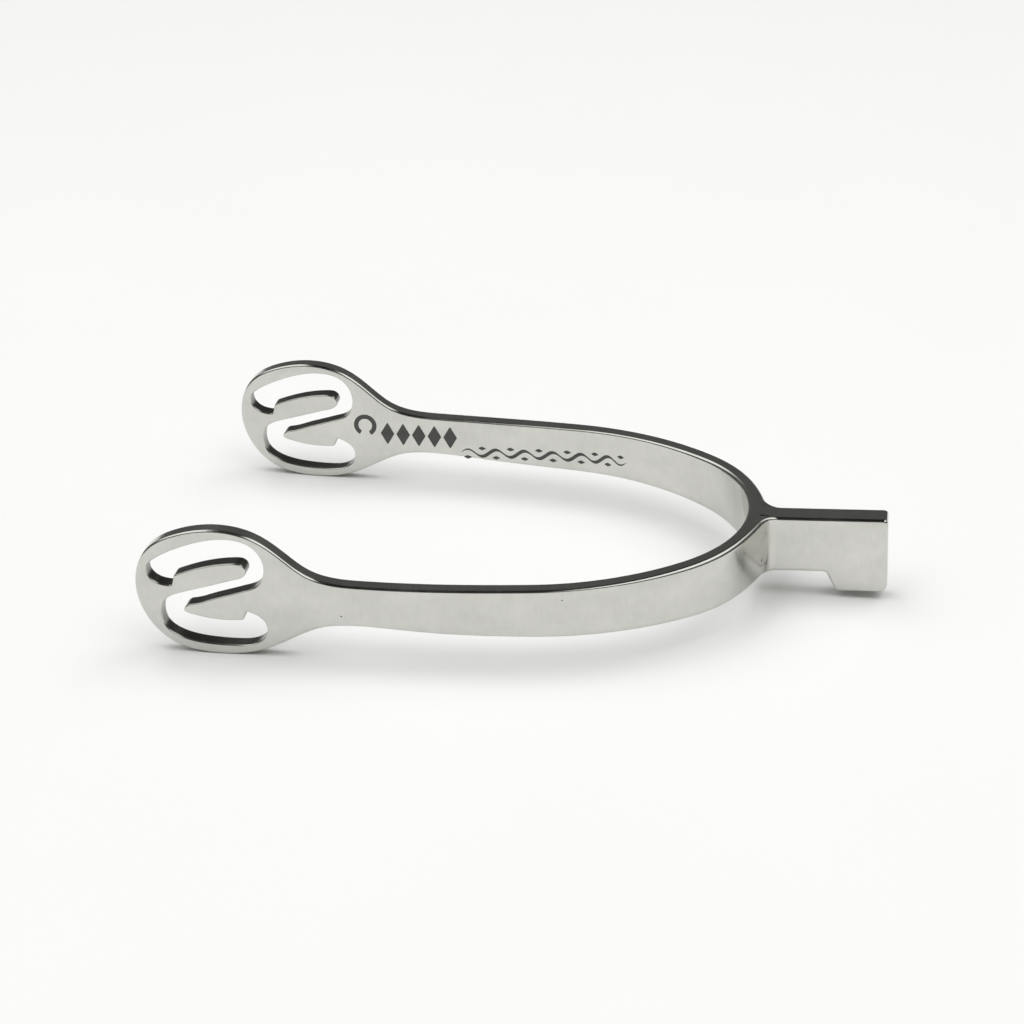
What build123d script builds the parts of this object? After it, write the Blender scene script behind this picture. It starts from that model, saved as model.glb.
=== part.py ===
from build123d import *
import os

# English riding spur: one flat steel bar bent to a U, with a flat slotted eye at each end,
# and a thicker hammer-ended neck welded to the outside of the bend.
# Millimetres. The origin is on the bar's inner face at the middle of the heel bend, where the
# spur bears on the boot. +X points along the neck, +Y across the boot, +Z up.
# The pieces are drawn with the bar's outer face at x = 0 and seated as they are written.

# ---- driving dimensions -------------------------------------------------------------

# heel band: heights of the bar's edges above and below z = 0 at the heel, along the branch
# and at the waist before the eye
band_thickness = 3.1
heel_height = 11.6
branch_top = 4.75
branch_bottom = 4.5
waist_top = 4.5
waist_bottom = 3.45
waist_distance = 69.0
edge_round = 0.3

# bend of the band's outer face, from the heel to the straight branches
heel_radius = 32.7
heel_angle = 49.0
side_radius = 54.2
side_angle = 82.6
flank_radius = 274.0
branch_angle = 88.3

# eyes, oval in side view
eye_distance = 96.0
eye_length = 30.2
eye_height = 25.0
eye_rise = 2.0
notch_round = 0.4

# neck
neck_thickness = 5.0
neck_length = 23.6
neck_height = 11.1
neck_tilt = 2.3
neck_drop = 0.18
hammer_length = 9.7
hammer_slope = 1.8
hammer_drop = 4.0
hammer_round = 1.6
neck_round = 0.4

# fillet welds at the neck's root: how far they run along the band and how full they are
weld_reach = 13.5
weld_foot = 5.4
weld_rise = 0.6
weld_throat = 2.8
weld_height = 10.8


# ---- heel band ----------------------------------------------------------------------

def bend(offset):
    """Half of the bend's plan, `offset` inside the band's outer face: tangent arcs, then a line."""
    heel = JernArc((-offset, 0), (0, 1), heel_radius - offset, heel_angle)
    side = JernArc(heel @ 1, heel % 1, side_radius - offset, side_angle - heel_angle)
    flank = JernArc(side @ 1, side % 1, flank_radius - offset, branch_angle - side_angle)
    branch = Line(flank @ 1, flank @ 1 + (eye_distance + eye_length) * (flank % 1))
    return [heel, side, flank, branch]


def bar_wall():
    """The bent bar at full height, before its edges and eyes are cut to shape."""
    outer = bend(0)
    inner = bend(band_thickness)
    end = Line(outer[-1] @ 1, inner[-1] @ 1)
    root = Line(inner[0] @ 0, outer[0] @ 0)
    half = make_face(outer + [end] + inner + [root])
    return extrude(half + mirror(half, Plane.XZ), 2 * eye_height, both=True)


def eye_points(shares):
    """Points of the eye's side view, given in shares of its half length and half height."""
    return [(-eye_distance + along * eye_length / 2, eye_rise + up * eye_height / 2)
            for along, up in shares]


def band_outline():
    """Side view of the band: a branch that tapers from the heel and spreads into an oval eye."""
    heel_top = heel_height / 2
    upper = [(0, heel_top),
             (-0.2 * waist_distance, branch_top + 0.55 * (heel_top - branch_top)),
             (-0.6 * waist_distance, branch_top),
             (-waist_distance, waist_top)]
    oval = eye_points([(1.09, 0.34), (0.8, 0.6), (0.46, 0.88), (0, 1), (-0.49, 0.9), (-0.84, 0.65),
                       (-1, 0.17), (-0.9, -0.42), (-0.6, -0.825), (0, -1), (0.5, -0.92),
                       (0.93, -0.67), (1.26, -0.49)])
    lower = [(-1.03 * waist_distance, -waist_bottom),
             (-0.86 * waist_distance, -waist_bottom - 0.55 * (branch_bottom - waist_bottom)),
             (-0.6 * waist_distance, -branch_bottom),
             (-0.2 * waist_distance, -branch_bottom - 0.4 * (heel_top - branch_bottom)),
             (0, -heel_top)]
    rim = Spline(*upper, *oval, *lower)
    nose = Polyline((0, -heel_top), (band_thickness, -heel_top), (band_thickness, heel_top), (0, heel_top))
    return make_face([rim] + nose.edges())


def slot_outline():
    """Strap slot: round the upper tongue, down a slanting limb and round the lower tongue."""
    inner = eye_points([(-0.52, 0.25), (-0.33, 0.34), (-0.06, 0.435), (0.19, 0.48), (0.33, 0.45),
                        (0.365, 0.345), (0.31, 0.263), (0.2, 0.212), (0, 0.138), (-0.3, 0.026),
                        (-0.5, -0.052), (-0.64, -0.15), (-0.7, -0.35), (-0.655, -0.59),
                        (-0.48, -0.745), (-0.16, -0.832), (0.2, -0.848), (0.46, -0.79),
                        (0.59, -0.62), (0.575, -0.46), (0.47, -0.34), (0.344, -0.28)])
    outer = eye_points([(0.305, -0.424), (0.13, -0.44), (-0.13, -0.42), (-0.33, -0.37),
                        (-0.42, -0.31), (-0.395, -0.245), (-0.3, -0.203), (-0.1, -0.123),
                        (0.12, -0.035), (0.33, 0.048), (0.48, 0.13), (0.565, 0.29), (0.57, 0.51),
                        (0.45, 0.745), (0.2, 0.855), (-0.13, 0.82), (-0.5, 0.665), (-0.75, 0.5),
                        (-0.85, 0.37), (-0.835, 0.225), (-0.73, 0.115), (-0.556, 0.08)])
    face = make_face([Spline(*inner), Line(inner[-1], outer[0]), Spline(*outer), Line(outer[-1], inner[0])])
    corners = [Vertex(*corner) for corner in (inner[0], inner[-1], outer[0], outer[-1])]
    sharp = [min(face.vertices(), key=corner.distance_to) for corner in corners]
    return fillet(sharp, notch_round)


def runs_through(edge):
    """Whether an edge runs straight across the bar's thickness, as at a seam of its cut edge."""
    span = edge @ 1 - edge @ 0
    level = abs(span.Z) < 0.2 * span.length
    return level and edge.length < 1.1 * band_thickness and abs(span.length - band_thickness) < edge_round


def follows_bend(edge):
    """Whether an edge only divides one smooth face of the wall from the next."""
    span = edge @ 1 - edge @ 0
    return edge.geom_type == GeomType.LINE and abs(abs(span.Z) - span.length) < 0.001


def make_heel_band():
    """The bent bar cut to its side view, with the edges of the cut rounded."""
    across = 4 * heel_radius
    side = extrude(Plane.XZ * (band_outline() - slot_outline()), across, both=True)
    bar = bar_wall() & side
    rims = [edge for edge in bar.edges() if not runs_through(edge) and not follows_bend(edge)]
    return fillet(rims, edge_round)


# ---- neck ---------------------------------------------------------------------------

def heel_core():
    """The round that the heel's outer face lies on."""
    return Pos(-heel_radius, 0, 0) * Cylinder(heel_radius, 4 * heel_height)


def make_neck():
    """Flat blade with a hammer end turned down, its root cut to the curve of the heel."""
    top = neck_height / 2 - neck_drop
    underside = top - neck_height
    toe = underside - hammer_drop
    step = neck_length - hammer_length
    blade = Polyline((-heel_radius, top), (neck_length, top), (neck_length, toe), (step, toe),
                     (step - hammer_slope, underside), (-heel_radius, underside), close=True)
    face = make_face(blade.edges())
    face = fillet(face.vertices().filter_by(lambda v: v.Y < toe + hammer_drop / 2), hammer_round)
    brow = [min(face.vertices(), key=Vertex(neck_length, top).distance_to),
            min(face.vertices(), key=Vertex(step - hammer_slope, underside).distance_to)]
    face = fillet(brow, neck_round)
    solid = extrude(Plane.XZ * face, neck_thickness / 2, both=True)
    near_flank = 0.4 * neck_thickness
    flanks = [edge for edge in solid.edges() if abs(edge.center().Y) > near_flank]
    root = [edge for edge in flanks if edge.center().X < 0 and edge.length < neck_length]
    solid = fillet([edge for edge in flanks if edge not in root], neck_round)
    return solid.rotate(Axis.Y, -neck_tilt) - heel_core()


# ---- welds --------------------------------------------------------------------------

def make_weld(side):
    """Ground fillet weld down one side of the neck's root: a thin flare, then a hollow throat."""
    inside = neck_thickness / 2
    skin = heel_radius ** 2
    reach_x = (skin - weld_reach ** 2) ** 0.5 - heel_radius
    foot_x = (skin - weld_foot ** 2) ** 0.5 - heel_radius + weld_rise
    reach = (reach_x, weld_reach)
    foot = (foot_x, weld_foot)
    lip = (foot_x + weld_throat, inside)
    flare = Line(reach, foot)
    hollow = TangentArc(foot, lip, tangent=flare % 1)
    back = Polyline(lip, (-heel_radius / 2, inside), (-heel_radius / 2, weld_reach), reach)
    face = make_face([flare, hollow] + back.edges())
    bead = extrude(face, weld_height / 2, both=True) - heel_core()
    return bead if side > 0 else mirror(bead, Plane.XZ)


if __name__ == "__main__":
    os.makedirs("parts", exist_ok=True)
    pieces = {
        "heel_band": make_heel_band(),
        "neck": make_neck(),
        "weld_left": make_weld(1),
        "weld_right": make_weld(-1),
    }
    for name, shape in pieces.items():
        seated = Pos(band_thickness, 0, 0) * shape
        export_step(seated, f"parts/{name}.step")
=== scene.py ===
from math import cos, pi, radians, sin, tan

import bpy
import numpy as np
from mathutils import Matrix, Vector
from mathutils.geometry import delaunay_2d_cdt


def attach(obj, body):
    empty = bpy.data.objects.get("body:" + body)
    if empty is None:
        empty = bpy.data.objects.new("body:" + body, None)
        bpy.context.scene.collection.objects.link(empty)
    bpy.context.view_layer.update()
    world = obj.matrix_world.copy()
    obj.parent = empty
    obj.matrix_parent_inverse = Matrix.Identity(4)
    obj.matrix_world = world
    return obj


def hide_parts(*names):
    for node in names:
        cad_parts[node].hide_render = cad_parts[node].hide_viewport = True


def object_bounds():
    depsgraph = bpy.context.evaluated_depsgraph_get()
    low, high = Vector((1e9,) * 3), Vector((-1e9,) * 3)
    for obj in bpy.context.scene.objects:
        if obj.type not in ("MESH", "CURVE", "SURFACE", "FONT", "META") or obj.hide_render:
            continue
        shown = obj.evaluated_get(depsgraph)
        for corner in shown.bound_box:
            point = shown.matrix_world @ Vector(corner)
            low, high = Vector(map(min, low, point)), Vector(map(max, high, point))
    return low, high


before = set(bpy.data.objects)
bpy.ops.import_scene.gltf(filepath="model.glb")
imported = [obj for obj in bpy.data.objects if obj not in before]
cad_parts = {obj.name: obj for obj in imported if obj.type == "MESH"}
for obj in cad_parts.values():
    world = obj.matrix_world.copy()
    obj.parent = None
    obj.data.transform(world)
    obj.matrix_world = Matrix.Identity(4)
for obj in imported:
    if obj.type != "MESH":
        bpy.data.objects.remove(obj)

# An English riding spur in polished stainless steel, in the frame's own axes: +X along the neck,
# +Y across the boot, +Z up, with the boot's heel at the origin. Sizes are in millimetres, and
# every piece is turned into metres as its mesh is made.

cad_box = [list(corner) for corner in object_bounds()]
MM = 0.001

# ---- the spur's own sizes -------------------------------------------------------------

band_thickness = 3.1
heel_height = 11.6
branch_top = 4.75
branch_bottom = 4.5
waist_top = 4.5
waist_bottom = 3.45
waist_distance = 69.0
edge_round = 0.42
heel_edge_round = 0.85
soft_edge_end = 50.0
soft_edge_fade = 38.0
slot_round = 0.25
tongue_round = 0.25
notch_round = 0.45

heel_radius = 32.7
heel_angle = 49.0
side_radius = 54.2
side_angle = 82.6
flank_radius = 274.0
branch_angle = 88.3

eye_distance = 96.0
eye_length = 30.2
eye_height = 25.0
eye_rise = 2.0

neck_thickness = 5.0
neck_length = 23.6
neck_height = 11.1
neck_tilt = 2.3
neck_drop = 0.18
hammer_length = 9.7
hammer_slope = 1.8
hammer_drop = 4.0
hammer_round = 1.6
hammer_step_round = 0.9
nose_round = 0.8
neck_round = 0.5

weld_reach = 13.5
weld_foot = 5.4
weld_rise = 0.6
left_weld_rise = 0.3
weld_throat = 2.8

mark_film = 0.03
mark_row = -2.7


# ---- curves in a plane ----------------------------------------------------------------

def spline_through(points, step):
    """Natural cubic spline through the points, its parameter the distance along the chords.

    The second derivatives M solve h0 M0 + 2 (h0 + h1) M1 + h1 M2 = 6 (slope1 - slope0), with M
    zero at both ends, and the curve is read every `step`.
    """
    p = np.array(points, float)
    h = np.linalg.norm(np.diff(p, axis=0), axis=1)
    knots = np.concatenate([[0], np.cumsum(h)])
    n = len(p)
    system = np.eye(n)
    inner = np.arange(1, n - 1)
    system[inner, inner - 1] = h[:-1]
    system[inner, inner] = 2 * (h[:-1] + h[1:])
    system[inner, inner + 1] = h[1:]
    slopes = np.diff(p, axis=0) / h[:, None]
    right = np.zeros_like(p)
    right[1:-1] = 6 * np.diff(slopes, axis=0)
    bend2 = np.linalg.solve(system, right)
    t = np.linspace(0, knots[-1], max(8, int(round(knots[-1] / step))))
    i = np.clip(np.searchsorted(knots, t, side="right") - 1, 0, n - 2)
    a = ((knots[i + 1] - t) / h[i])[:, None]
    b = 1 - a
    g = (h[i] ** 2 / 6)[:, None]
    return a * p[i] + b * p[i + 1] + g * ((a ** 3 - a) * bend2[i] + (b ** 3 - b) * bend2[i + 1])


def evenly(loop, step):
    """A closed loop read again at even distances along its length."""
    closed = np.vstack([loop, loop[:1]])
    along = np.concatenate([[0], np.cumsum(np.linalg.norm(np.diff(closed, axis=0), axis=1))])
    at = np.linspace(0, along[-1], int(round(along[-1] / step)), endpoint=False)
    return np.stack([np.interp(at, along, closed[:, k]) for k in (0, 1)], axis=1)


def round_corner(before, corner, after, radius, steps=7):
    """Arc of `radius` that touches the lines from a corner to the points before and after it."""
    corner = np.array(corner, float)
    u = np.array(before, float) - corner
    v = np.array(after, float) - corner
    u /= np.linalg.norm(u)
    v /= np.linalg.norm(v)
    half = np.arccos(np.clip(u @ v, -1, 1)) / 2
    centre = corner + (u + v) / np.linalg.norm(u + v) * radius / sin(half)
    start = corner + u * radius / tan(half) - centre
    end = corner + v * radius / tan(half) - centre
    t = np.linspace(0, 1, steps)[:, None]
    turn = np.arccos(np.clip(start @ end / radius ** 2, -1, 1))
    return centre + (np.sin((1 - t) * turn) * start + np.sin(t * turn) * end) / sin(turn)


def rounded_polygon(points, radii):
    """Closed loop through the corners, each rounded to its own radius."""
    count = len(points)
    arcs = [round_corner(points[i - 1], points[i], points[(i + 1) % count], radii[i])
            for i in range(count)]
    return np.vstack(arcs)


def inset(loop, distance):
    """A closed anticlockwise loop moved sideways into the material on its left."""
    ahead = np.roll(loop, -1, axis=0) - loop
    ahead /= np.linalg.norm(ahead, axis=1)[:, None]
    behind = np.roll(ahead, 1, axis=0)
    tangent = ahead + behind
    tangent /= np.linalg.norm(tangent, axis=1)[:, None]
    square = np.clip((tangent * ahead).sum(axis=1), 0.5, 1)
    return loop + np.stack([-tangent[:, 1], tangent[:, 0]], axis=1) * (distance / square)[:, None]


def turned(loop, anticlockwise):
    """The loop, running the way asked."""
    following = np.roll(loop, -1, axis=0)
    area = (loop[:, 0] * following[:, 1] - loop[:, 1] * following[:, 0]).sum()
    return loop if (area > 0) == anticlockwise else loop[::-1]


# ---- rounded plates -------------------------------------------------------------------

def plate(name, loops, roundings, thickness, place, grid, rims=1, steps=6, support=0.12):
    """A plate of even thickness with rounded edges, carried into space by `place`.

    The first `rims` loops bound the plate and the others are its holes. Each loop gives rings of
    points: over a quarter turn q the ring is inset by r (1 - sin q) at depth r (1 - cos q), on
    both faces, with r the loop's own rounding. A ring `support` further in and another as far
    down the cut edge keep both flat, and triangles fill the faces. The holes' flat walls take the
    piece's second material. place(u, v, depth) gives the point in space of the plan's point
    (u, v) below the front face.
    """
    loops = [turned(loop, index < rims) for index, loop in enumerate(loops)]
    quarter = np.linspace(0, pi / 2, steps)
    rows = 2 * (steps + 2)
    plan, depths, faces, starts = [], [], [], []
    total = 0
    for loop, rounding in zip(loops, roundings):
        profile = [(rounding + support, 0.0)]
        profile += [(rounding * (1 - sin(q)), rounding * (1 - cos(q))) for q in quarter]
        profile.append((0.0, rounding + support))
        profile += [(side, thickness - depth) for side, depth in profile[::-1]]
        count = len(loop)
        starts.append((total, count))
        for side, depth in profile:
            plan.append(inset(loop, side))
            depths.append(np.zeros(count) + depth)
        k = np.arange(count)
        following = (k + 1) % count
        for row in range(rows - 1):
            a = total + row * count
            b = a + count
            faces.append(np.stack([a + k, b + k, b + following, a + following], axis=1))
        total += rows * count
    borders = [plan[i * rows] for i in range(len(loops))]
    edge_count = sum(len(border) for border in borders)
    corners = np.vstack(borders)
    low_corner, high_corner = corners.min(axis=0), corners.max(axis=0)
    gu, gv = np.meshgrid(np.arange(low_corner[0], high_corner[0], grid),
                         np.arange(low_corner[1], high_corner[1], grid))
    inner = np.stack([gu.ravel(), gv.ravel()], axis=1)
    gaps = np.full(len(inner), np.inf)
    block_size, least_gap = 256, 0.6 * grid
    for start in range(0, edge_count, block_size):
        block = corners[start:start + block_size]
        gaps = np.minimum(gaps, np.linalg.norm(inner[:, None] - block[None], axis=2).min(axis=1))
    inner = inner[gaps > least_gap]
    points = [Vector(p) for p in np.vstack([corners, inner])]
    ring_faces = []
    first = 0
    for border in borders:
        ring_faces.append(list(range(first, first + len(border))))
        first += len(border)
    inside_with_holes, nearly_same = 2, 1e-7
    verts, _, triangles, origin, _, _ = delaunay_2d_cdt(points, [], ring_faces,
                                                        inside_with_holes, nearly_same)
    tri = np.array([list(t) for t in triangles], int)
    flat = np.array([tuple(v) for v in verts])
    source = np.array([ids[0] if ids else -1 for ids in origin])
    used = np.zeros(len(flat), bool)
    used[tri.ravel()] = True
    on_rim = (source >= 0) & (source < edge_count)
    rim_front = np.concatenate([start + np.arange(count) for start, count in starts])
    rim_back = np.concatenate([start + (rows - 1) * count + np.arange(count)
                               for start, count in starts])
    extra = np.flatnonzero(used & ~on_rim)
    front_ids = np.zeros(len(flat), int)
    back_ids = np.zeros(len(flat), int)
    front_ids[on_rim] = rim_front[source[on_rim]]
    back_ids[on_rim] = rim_back[source[on_rim]]
    front_ids[extra] = total + np.arange(len(extra))
    back_ids[extra] = total + len(extra) + np.arange(len(extra))
    plan += [flat[extra], flat[extra]]
    depths += [np.zeros(len(extra)), np.full(len(extra), thickness)]
    faces += [front_ids[tri], back_ids[tri][:, ::-1]]
    uv = np.vstack(plan)
    depth = np.concatenate(depths)
    piece = make_mesh(name, place(uv[:, 0], uv[:, 1], depth), faces, uv)
    # The holes' walls take the second material; on the band this is the dark tint of painted shade
    # inside the slots.
    hole_wall = np.zeros(len(piece.data.polygons), int)
    wall_row = steps + 1
    for start, count in starts[rims:]:
        faces_before = start // rows * (rows - 1)
        first = faces_before + wall_row * count
        hole_wall[first:first + count] = 1
    piece.data.polygons.foreach_set("material_index", hole_wall)
    return piece


def make_mesh(name, points, faces, uv):
    """An object from points in millimetres, with the plan's (u, v) in centimetres as its UV map.

    It is shaded smooth, apart from edges that turn by more than `sharp_edge`.
    """
    sharp_edge, mm_in_cm = radians(40), 10
    mesh = bpy.data.meshes.new(name)
    every_face = [face for block in faces for face in block.tolist()]
    mesh.from_pydata((points * MM).tolist(), [], every_face)
    layer = mesh.uv_layers.new(name="plan")
    corner = np.empty(len(mesh.loops), int)
    mesh.loops.foreach_get("vertex_index", corner)
    layer.data.foreach_set("uv", (uv[corner] / mm_in_cm).ravel())
    mesh.shade_smooth()
    mesh.set_sharp_from_angle(angle=sharp_edge)
    mesh.validate()
    piece = bpy.data.objects.new(name, mesh)
    bpy.context.collection.objects.link(piece)
    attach(piece, "root")
    return piece


# ---- heel band ------------------------------------------------------------------------

def bend_point(s):
    """Outer face of the bent bar at distance s round it from the heel, and its outward normal.

    Three tangent arcs and a line: on an arc of radius R from angle a0, the point moves by
    R (cos a - cos a0, sin a - sin a0). Negative s runs round the -Y side.
    """
    angles = np.radians([0, heel_angle, side_angle, branch_angle])
    radii = [heel_radius, side_radius, flank_radius]
    along = np.abs(s)
    side = np.sign(s) + (s == 0)
    x, y, a = np.zeros_like(along), np.zeros_like(along), np.zeros_like(along)
    start = 0.0
    for radius, a0, a1 in zip(radii, angles[:-1], angles[1:]):
        turn = np.clip((along - start) / radius, 0, a1 - a0)
        x += radius * (np.cos(a0 + turn) - np.cos(a0))
        y += radius * (np.sin(a0 + turn) - np.sin(a0))
        a += turn
        start += radius * (a1 - a0)
    rest = np.clip(along - start, 0, None)
    x -= rest * np.sin(a)
    y += rest * np.cos(a)
    return x + band_thickness, side * y, np.cos(a), side * np.sin(a)


def on_band(s, z, depth):
    """The point at distance s round the band and height z, `depth` below its outer face.

    Along the straight branches, where |ny| is close to 1, the depth runs straight across the
    spur, so that the inner face of an eye ends where its outer face does.
    """
    x, y, nx, ny = bend_point(s)
    squareness = 20
    square_end = depth * nx * np.abs(ny) ** squareness
    return np.stack([x - nx * depth + square_end, y - ny * depth, z], axis=1)


def unrolled(side_view, side):
    """A side view's points (x from the outer face, z) as points (s, z) of the unrolled bar."""
    longest, samples = 140, 4000
    s = np.linspace(0, longest, samples)
    x = bend_point(s)[0] - band_thickness
    return np.stack([side * np.interp(-side_view[:, 0], -x, s), side_view[:, 1]], axis=1)


def eye_points(shares):
    """Points of the eye's side view, given in shares of its half length and half height."""
    return [(-eye_distance + along * eye_length / 2, eye_rise + up * eye_height / 2)
            for along, up in shares]


def band_side_view():
    """Rim of the band: over the branch, round the oval eye and back under the branch."""
    heel_top = heel_height / 2
    upper = [(0, heel_top),
             (-0.2 * waist_distance, branch_top + 0.55 * (heel_top - branch_top)),
             (-0.6 * waist_distance, branch_top),
             (-waist_distance, waist_top)]
    oval = eye_points([(1.09, 0.34), (0.8, 0.6), (0.46, 0.88), (0, 1), (-0.49, 0.9), (-0.84, 0.65),
                       (-1, 0.17), (-0.9, -0.42), (-0.6, -0.825), (0, -1), (0.5, -0.92),
                       (0.93, -0.67), (1.26, -0.49)])
    lower = [(-1.03 * waist_distance, -waist_bottom),
             (-0.86 * waist_distance, -waist_bottom - 0.55 * (branch_bottom - waist_bottom)),
             (-0.6 * waist_distance, -branch_bottom),
             (-0.2 * waist_distance, -branch_bottom - 0.4 * (heel_top - branch_bottom)),
             (0, -heel_top)]
    return spline_through(upper + oval + lower, 0.05)


def slot_side_view():
    """Serpentine slot: round the upper tongue, down a slanting limb and round the lower tongue."""
    inner = eye_points([(-0.52, 0.25), (-0.33, 0.34), (-0.06, 0.435), (0.19, 0.48), (0.33, 0.45),
                        (0.365, 0.345), (0.31, 0.263), (0.2, 0.212), (0, 0.138), (-0.3, 0.026),
                        (-0.5, -0.052), (-0.64, -0.15), (-0.7, -0.35), (-0.655, -0.59),
                        (-0.48, -0.745), (-0.16, -0.832), (0.2, -0.848), (0.46, -0.79),
                        (0.59, -0.62), (0.575, -0.46), (0.47, -0.34), (0.344, -0.28)])
    outer = eye_points([(0.305, -0.424), (0.13, -0.44), (-0.13, -0.42), (-0.33, -0.37),
                        (-0.42, -0.31), (-0.395, -0.245), (-0.3, -0.203), (-0.1, -0.123),
                        (0.12, -0.035), (0.33, 0.048), (0.48, 0.13), (0.565, 0.29), (0.57, 0.51),
                        (0.45, 0.745), (0.2, 0.855), (-0.13, 0.82), (-0.5, 0.665), (-0.75, 0.5),
                        (-0.85, 0.37), (-0.835, 0.225), (-0.73, 0.115), (-0.556, 0.08)])
    one, two = spline_through(inner, 0.05), spline_through(outer, 0.05)
    reach = 12
    corners = [(one[-reach], one[-1], two[0], tongue_round), (one[-1], two[0], two[reach], notch_round),
               (two[-reach], two[-1], one[0], tongue_round), (two[-1], one[0], one[reach], notch_round)]
    hook, root, tip, heel = [round_corner(*corner) for corner in corners]
    return np.vstack([one[reach:-reach], hook, root, two[reach:-reach], tip, heel])


def edge_rounding(s):
    """Rounding of the band's edges: softer at the heel, where the welds are ground flush."""
    t = np.clip((soft_edge_end - np.abs(s)) / soft_edge_fade, 0, 1)
    return edge_round + (heel_edge_round - edge_round) * t * t * (3 - 2 * t)


def heel_band():
    """The bent bar: its side view unrolled, with both slots, carried round the bend."""
    side_view = band_side_view()
    right, left = unrolled(side_view, 1), unrolled(side_view, -1)
    rim = evenly(np.vstack([right[1:], left[::-1][1:]]), 0.45)
    slots = [evenly(unrolled(slot_side_view(), side), 0.3) for side in (1, -1)]
    roundings = [edge_rounding(turned(rim, True)[:, 0]), slot_round, slot_round]
    return plate("bent_heel_band", [rim] + slots, roundings, band_thickness, on_band, 1.0)


# ---- neck and welds -------------------------------------------------------------------

def root_height(x, upper):
    """Height of the top or the underside where the heel is ground into the neck.

    Behind the heel's outer face it is the band's edge; past the welds it is the neck's tilted
    edge; between them a smooth step 3t^2 - 2t^3 joins the two.
    """
    tilt = radians(neck_tilt)
    sign = 1 if upper else -1
    rim = band_side_view()[::sign]
    near = rim[:np.argmax(rim[:, 0] < -0.2 * waist_distance)]
    band_edge = np.interp(-x, -near[:, 0], near[:, 1])
    neck_edge = x * sin(tilt) + (sign * neck_height / 2 - neck_drop) * cos(tilt)
    t = np.clip(x / (weld_rise + weld_throat), 0, 1)
    return band_edge + t * t * (3 - 2 * t) * (neck_edge - band_edge)


def neck():
    """Flat blade with a hammer end turned down, tilted up a little; its root runs into the band."""
    top = neck_height / 2 - neck_drop
    underside = top - neck_height
    toe = underside - hammer_drop
    step = neck_length - hammer_length
    hidden, clear, skim, buried_round = -2.1, 4.2, 0.012, 1.0
    tilt = radians(neck_tilt)
    rooted = np.linspace(hidden + buried_round + 0.1, clear, 26)
    upper = (root_height(rooted, True) - skim - rooted * sin(tilt)) / cos(tilt)
    lower = (root_height(rooted, False) + skim - rooted * sin(tilt)) / cos(tilt)
    corners = [(hidden, upper[0]), (hidden, lower[0]), (step - hammer_slope, underside), (step, toe),
               (neck_length, toe), (neck_length, top)]
    rest = rounded_polygon(corners, [buried_round, buried_round, hammer_step_round, hammer_round,
                                     hammer_round, nose_round])
    buried, exposed = rest[rest[:, 0] < 0], rest[rest[:, 0] > clear]
    outline = np.vstack([buried, np.column_stack([rooted, lower]), exposed,
                         np.column_stack([rooted, upper])[::-1]])
    outline = evenly(outline, 0.25)

    def place(u, v, depth):
        x = u * cos(tilt) - v * sin(tilt) + band_thickness
        z = u * sin(tilt) + v * cos(tilt)
        return np.stack([x, depth - neck_thickness / 2, z], axis=1)

    return plate("hammer_neck", [outline], [neck_round], neck_thickness, place, 1.2)


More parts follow.
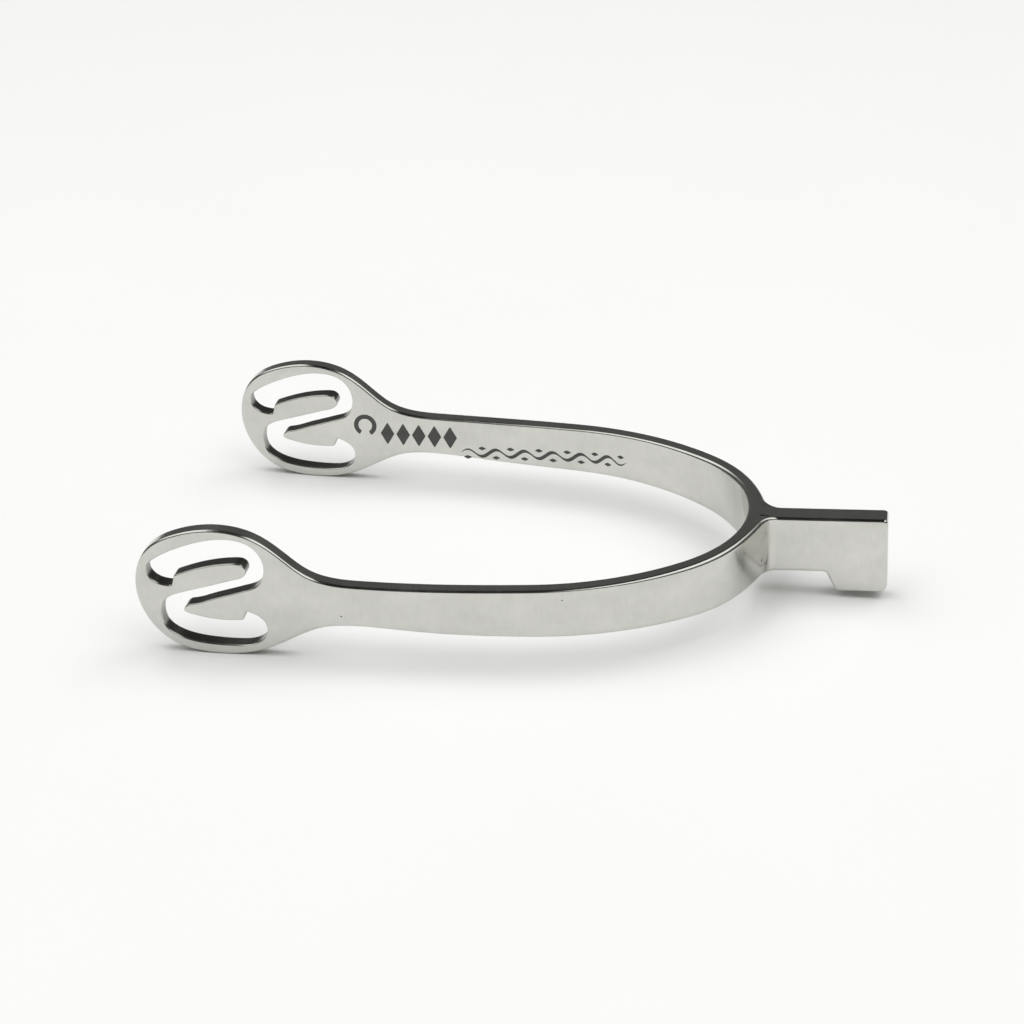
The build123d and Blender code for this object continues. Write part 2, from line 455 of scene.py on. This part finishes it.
def weld(side):
    """Ground fillet weld: a thin flare along the band, then a hollow throat up to the neck's side.

    Its plan is the heel's circle, its radius growing by rise t^2 from the reach to the foot, then
    a quadratic curve (1-t)^2 foot + 2t(1-t) corner + t^2 lip that ends along the neck.
    Each point of the plan carries a section that turns over at the band's and the neck's edges
    and closes inside the metal.
    """
    buried = 0.005
    inside = neck_thickness / 2 - buried
    t = np.linspace(0, 1, 24)
    far, near = np.arcsin(weld_reach / heel_radius), np.arcsin(weld_foot / heel_radius)
    round_heel = far + t * (near - far)
    rise = left_weld_rise if side > 0 else weld_rise
    swollen = heel_radius + rise * t ** 2
    flare = np.column_stack([swollen * np.cos(round_heel) - heel_radius, swollen * np.sin(round_heel)])
    foot, leaving = flare[-1], flare[-1] - flare[-2]
    corner = foot + leaving * (foot[1] - inside) / -leaving[1]
    lip = np.array([foot[0] + weld_throat + weld_rise - rise, inside])
    t = np.linspace(0, 1, 26)[1:, None]
    hollow = (1 - t) ** 2 * foot + 2 * t * (1 - t) * corner + t ** 2 * lip
    plan = np.vstack([flare, hollow])
    tangent = np.gradient(plan, axis=0)
    tangent /= np.linalg.norm(tangent, axis=1)[:, None]
    outward = np.stack([-tangent[:, 1], tangent[:, 0]], axis=1)

    skim, support = 0.004, 0.06
    top = root_height(plan[:, 0], True) - skim
    bottom = root_height(plan[:, 0], False) + skim
    share = np.clip((weld_foot - plan[:, 1]) / (weld_foot - inside), 0, 1)
    rounding = heel_edge_round + share * (neck_round - heel_edge_round)
    body_at_band, body_at_neck = 2.2, 3.0
    body = body_at_band + (body_at_neck - body_at_band) * share
    quarter = np.linspace(0, pi / 2, 8)
    over = [(body, support + 0 * top), (body - support, 0 * top), (rounding + 2 * support, 0 * top)]
    over += [(rounding * (1 - sin(q)), rounding * (1 - cos(q))) for q in quarter]
    over.append((0 * top, rounding + 2 * support))
    section = [(depth, top - drop) for depth, drop in over]
    section += [(depth, bottom + drop) for depth, drop in over[::-1]]
    rings = [np.column_stack([plan - outward * np.reshape(depth, (-1, 1)), height])
             for depth, height in section]
    points = np.stack(rings, axis=1)
    points[:, :, 0] += band_thickness
    points[:, :, 1] *= side
    stations, around = points.shape[:2]
    i, j = np.meshgrid(np.arange(stations - 1), np.arange(around), indexing="ij")
    one, two = i * around + j, i * around + (j + 1) % around
    quads = np.stack([one, two, two + around, one + around], axis=-1).reshape(-1, 4)
    ends = [np.arange(around)[::-1][None], (stations - 1) * around + np.arange(around)[None]]
    if side > 0:
        quads = quads[:, ::-1]
        ends = [cap[:, ::-1] for cap in ends]
    travelled = np.concatenate([[0], np.cumsum(np.linalg.norm(np.diff(plan, axis=0), axis=1))])
    uv = np.column_stack([np.repeat(travelled, around), points[:, :, 2].ravel()])
    name = "weld_bead_left" if side > 0 else "weld_bead_right"
    return make_mesh(name, points.reshape(-1, 3), [quads] + ends, uv)


# ---- marks on the inner face ----------------------------------------------------------

def horseshoe(s, z, radius, stroke):
    """A ring of the given stroke, open at the bottom over a sixth of a turn, its ends square."""
    a = np.radians(np.linspace(-60, 240, 60))[:, None]
    ring = np.hstack([np.cos(a), np.sin(a)])
    return np.array([s, z]) + np.vstack([ring * radius, ring[::-1] * (radius - stroke)])


def lozenge(s, z, half_length, half_height):
    """A four-cornered diamond with its corners a little rounded."""
    corners = [(s - half_length, z), (s, z - half_height), (s + half_length, z), (s, z + half_height)]
    corner_round = 0.12
    return rounded_polygon(corners, [corner_round] * len(corners))


def vine(start, end, rise, stroke):
    """A wavy band: a sine about a sloping line, thicker where it climbs, pointed at both ends."""
    t = np.linspace(0, 1, 260)
    waves, swing, swelling, taper, least = 6, 0.75, 0.5, 12, 0.03
    s = start + t * (end - start)
    z = mark_row + rise * t + swing * np.sin(2 * pi * waves * t)
    pointed = np.minimum(1, taper * np.minimum(t, 1 - t))
    half = stroke / 2 * (1 + swelling * np.cos(2 * pi * waves * t)) * pointed + least
    return np.vstack([np.column_stack([s, z + half]), np.column_stack([s, z - half])[::-1]])


def inner_marks():
    """Laser mark inside the left branch: a horseshoe, a row of lozenges and a vine with leaves."""
    loops = [evenly(horseshoe(104.7, 1.9, radius=2.4, stroke=0.95), 0.2)]
    first_lozenge, pitch, lozenges = 100.0, 3.3, 5
    loops += [evenly(lozenge(first_lozenge - pitch * i, 0.4, 1.45, 2.5), 0.2) for i in range(lozenges)]
    start, end, rise, leaves = 84.6, 48.6, 1.9, 12
    loops.append(evenly(vine(start, end, rise, stroke=0.6), 0.16))
    for i in range(leaves):
        t = (i + 0.5) / leaves
        side = 1 if i % 2 else -1
        leaf = lozenge(start + t * (end - start), mark_row + rise * t + side, 0.95, 0.42)
        loops.append(evenly(leaf, 0.1))
    film_round = 0.01

    def place(u, v, depth):
        return on_band(u, v, band_thickness - mark_film / 2 + depth)

    return plate("inner_mark", loops, [film_round] * len(loops), mark_film, place, 1.0,
                 rims=len(loops), steps=3, support=0.02)


# ---- camera ---------------------------------------------------------------------------

def place_camera():
    """The viewing angle: over the near branch from the open side, slightly towards the neck."""
    azimuth, elevation, roll = radians(8.99), radians(25.73), radians(-0.42)
    distance, lens, film = 0.5061, 92.53, 36.0
    target = Vector((-0.0451, 0.0, 0.00215))
    back = Vector((sin(azimuth) * cos(elevation), -cos(azimuth) * cos(elevation), sin(elevation)))
    right = (-back).cross(Vector((0, 0, 1))).normalized()
    up = right.cross(-back)
    turned_right = cos(roll) * right + sin(roll) * up
    turned_up = cos(roll) * up - sin(roll) * right
    data = bpy.data.cameras.new("camera")
    data.lens = lens
    data.sensor_width = film
    data.clip_start = 0.01
    data.clip_end = 50
    camera = bpy.data.objects.new("camera", data)
    turn = Matrix((turned_right, turned_up, back)).transposed().to_4x4()
    camera.matrix_world = Matrix.Translation(target + distance * back) @ turn
    bpy.context.collection.objects.link(camera)
    bpy.context.scene.camera = camera


# ---- finishes -------------------------------------------------------------------------

def worn_metal_group():
    """Polishing haze, brush lines and pits of ground steel, from a plan in centimetres.

    Haze is broad noise, Lines is noise drawn out along the second axis of the plan, and Pits is
    the middle of a few cells of a Voronoi pattern. Tone, Roughness and Height combine them.
    """
    group = bpy.data.node_groups.new("ground_steel_surface", "ShaderNodeTree")
    sockets = group.interface
    sockets.new_socket("Plan", in_out="INPUT", socket_type="NodeSocketVector")
    for name in ("Haze Depth", "Line Depth", "Pit Share", "Base Roughness"):
        sockets.new_socket(name, in_out="INPUT", socket_type="NodeSocketFloat")
    for name in ("Tone", "Roughness", "Height"):
        sockets.new_socket(name, in_out="OUTPUT", socket_type="NodeSocketFloat")
    nodes, links = group.nodes, group.links
    given, result = nodes.new("NodeGroupInput"), nodes.new("NodeGroupOutput")

    def combine(operation, first, second):
        node = nodes.new("ShaderNodeMath")
        node.operation = operation
        for socket, value in zip(node.inputs, (first, second)):
            if isinstance(value, (int, float)):
                socket.default_value = value
            else:
                links.new(value, socket)
        return node.outputs[0]

    def noise(scale, stretch, detail):
        turn = nodes.new("ShaderNodeMapping")
        turn.inputs["Scale"].default_value = stretch
        links.new(given.outputs["Plan"], turn.inputs["Vector"])
        node = nodes.new("ShaderNodeTexNoise")
        node.inputs["Scale"].default_value = scale
        node.inputs["Detail"].default_value = detail
        links.new(turn.outputs["Vector"], node.inputs["Vector"])
        return node.outputs["Fac"]

    haze = combine("SUBTRACT", noise(1.1, (0.7, 1.4, 1), 3), 0.5)
    cloud = combine("SUBTRACT", noise(5.0, (1, 1, 1), 5), 0.5)
    lines = combine("SUBTRACT", noise(4.0, (9, 0.9, 1), 4), 0.5)
    cells = nodes.new("ShaderNodeTexVoronoi")
    cells.inputs["Scale"].default_value = 9.0
    links.new(given.outputs["Plan"], cells.inputs["Vector"])
    chosen = nodes.new("ShaderNodeSeparateColor")
    links.new(cells.outputs["Color"], chosen.inputs["Color"])
    picked = combine("LESS_THAN", chosen.outputs["Red"], given.outputs["Pit Share"])
    pit_size = combine("MULTIPLY", chosen.outputs["Green"], 0.22)
    core = combine("LESS_THAN", cells.outputs["Distance"], pit_size)
    pits = combine("MULTIPLY", picked, core)

    uneven = combine("ADD", haze, combine("MULTIPLY", cloud, 0.5))
    broad = combine("MULTIPLY", uneven, given.outputs["Haze Depth"])
    fine = combine("MULTIPLY", lines, given.outputs["Line Depth"])
    tone = combine("ADD", combine("ADD", broad, fine), 1.0)
    pit_shade = combine("SUBTRACT", 1.0, combine("MULTIPLY", pits, 0.75))
    links.new(combine("MULTIPLY", tone, pit_shade), result.inputs["Tone"])
    rough = combine("ADD", given.outputs["Base Roughness"], combine("MULTIPLY", broad, 0.5))
    links.new(combine("ADD", rough, combine("MULTIPLY", pits, 0.3)), result.inputs["Roughness"])
    links.new(combine("SUBTRACT", combine("MULTIPLY", lines, 0.35), pits), result.inputs["Height"])
    return group


def finish(name, surface, tint, metallic, haze, lines, pits, roughness, relief):
    """A material whose colour, roughness and relief follow the ground-steel surface."""
    deepest_scratch = 0.02
    material = bpy.data.materials.new(name)
    material.use_nodes = True
    nodes, links = material.node_tree.nodes, material.node_tree.links
    shader = nodes["Principled BSDF"]
    shader.inputs["Metallic"].default_value = metallic
    plan = nodes.new("ShaderNodeUVMap")
    plan.uv_map = "plan"
    ground = nodes.new("ShaderNodeGroup")
    ground.node_tree = surface
    links.new(plan.outputs["UV"], ground.inputs["Plan"])
    for socket, value in (("Haze Depth", haze), ("Line Depth", lines), ("Pit Share", pits),
                          ("Base Roughness", roughness)):
        ground.inputs[socket].default_value = value
    colour = nodes.new("ShaderNodeVectorMath")
    colour.operation = "SCALE"
    colour.inputs[0].default_value = tint
    links.new(ground.outputs["Tone"], colour.inputs["Scale"])
    links.new(colour.outputs[0], shader.inputs["Base Color"])
    links.new(ground.outputs["Roughness"], shader.inputs["Roughness"])
    bump = nodes.new("ShaderNodeBump")
    bump.inputs["Strength"].default_value = relief
    bump.inputs["Distance"].default_value = deepest_scratch * MM
    links.new(ground.outputs["Height"], bump.inputs["Height"])
    links.new(bump.outputs["Normal"], shader.inputs["Normal"])
    return material


# ---- studio ---------------------------------------------------------------------------

def pale_floor():
    """A white sweep, far larger than the spur, with a trace of unevenness in its paint."""
    bpy.ops.mesh.primitive_plane_add(size=6, location=(0, 0, cad_box[0][2]))
    floor = bpy.context.object
    floor.name = "floor"
    material = bpy.data.materials.new("white_sweep")
    material.use_nodes = True
    nodes, links = material.node_tree.nodes, material.node_tree.links
    shader = nodes["Principled BSDF"]
    shader.inputs["Roughness"].default_value = 0.95
    place = nodes.new("ShaderNodeTexCoord")
    grain = nodes.new("ShaderNodeTexNoise")
    grain.inputs["Scale"].default_value = 12
    ramp = nodes.new("ShaderNodeValToRGB")
    ramp.color_ramp.elements[0].color = (0.9, 0.9, 0.895, 1)
    ramp.color_ramp.elements[1].color = (0.92, 0.92, 0.915, 1)
    links.new(place.outputs["Object"], grain.inputs["Vector"])
    links.new(grain.outputs["Fac"], ramp.inputs["Fac"])
    links.new(ramp.outputs["Color"], shader.inputs["Base Color"])
    floor.data.materials.append(material)


def light_tent():
    """Surroundings: a grey room low down, and two white side panels high up with a dark gap.

    The direction's height z and sideways part x pick them: panels where z and |x| are both
    large, darkness overhead between them, grey towards the horizon, white below it.
    """
    world = bpy.data.worlds.new("light_tent")
    bpy.context.scene.world = world
    world.use_nodes = True
    nodes, links = world.node_tree.nodes, world.node_tree.links
    sky = nodes["Background"]
    place = nodes.new("ShaderNodeTexCoord")
    parts = nodes.new("ShaderNodeSeparateXYZ")
    links.new(place.outputs["Generated"], parts.inputs["Vector"])

    def step(value, low, high):
        node = nodes.new("ShaderNodeMapRange")
        node.interpolation_type = "SMOOTHSTEP"
        node.inputs["From Min"].default_value = low
        node.inputs["From Max"].default_value = high
        links.new(value, node.inputs["Value"])
        return node.outputs["Result"]

    def mix(factor, first, second):
        node = nodes.new("ShaderNodeMix")
        for socket, value in ((node.inputs["A"], first), (node.inputs["B"], second)):
            if isinstance(value, float):
                socket.default_value = value
            else:
                links.new(value, socket)
        links.new(factor, node.inputs["Factor"])
        return node.outputs["Result"]

    sideways = nodes.new("ShaderNodeMath")
    sideways.operation = "ABSOLUTE"
    links.new(parts.outputs["X"], sideways.inputs[0])
    dark_gap, panel, grey_room, white_below = 0.012, 1.3, 0.105, 0.95
    overhead = mix(step(sideways.outputs[0], 0.22, 0.32), dark_gap, panel)
    above = mix(step(parts.outputs["Z"], 0.5, 0.62), grey_room, overhead)
    links.new(mix(step(parts.outputs["Z"], -0.02, 0.0), white_below, above), sky.inputs["Strength"])
    sky.inputs["Color"].default_value = (1.0, 1.0, 0.985, 1)


def overhead_lamp():
    """One large soft lamp that lights the sweep; the polished faces don't mirror it."""
    lamp = bpy.data.lights.new("overhead", "AREA")
    lamp.size = 1.6
    lamp.energy = 13
    overhead = bpy.data.objects.new("overhead", lamp)
    overhead.location = (-0.05, 0.0, 1.3)
    overhead.visible_glossy = False
    bpy.context.collection.objects.link(overhead)


# ---- the spur, its finishes and the studio ----------------------------------------------

band = heel_band()
blade = neck()
welds = [weld(1), weld(-1)]
mark = inner_marks()
steel_surface = worn_metal_group()
polished = finish("polished_steel", steel_surface, (0.605, 0.605, 0.57), metallic=1.0,
                  haze=0.3, lines=0.14, pits=0.014, roughness=0.16, relief=0.3)
ground = finish("ground_weld", steel_surface, (0.6, 0.6, 0.56), metallic=1.0,
                haze=0.35, lines=0.16, pits=0.1, roughness=0.18, relief=0.5)
# Dark tint on the slots' walls: painted shade, standing in for the darkness the walls mirror inside the
# slots.
slot_wall_shade = finish("slot_wall_painted_shade", steel_surface, (0.19, 0.19, 0.175), metallic=1.0,
                  haze=0.3, lines=0.2, pits=0.0, roughness=0.24, relief=0.3)
burnt = finish("laser_mark", steel_surface, (0.07, 0.07, 0.065), metallic=0.0,
               haze=0.5, lines=0.4, pits=0.0, roughness=0.5, relief=0.3)
for piece, material in [(band, polished), (blade, polished), (welds[0], ground), (welds[1], ground),
                        (mark, burnt)]:
    piece.data.materials.append(material)
band.data.materials.append(slot_wall_shade)
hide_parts("heel_band")
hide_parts("neck")
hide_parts("weld_left")
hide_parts("weld_right")

bpy.context.scene.view_settings.view_transform = "Standard"
place_camera()
pale_floor()
light_tent()
overhead_lamp()
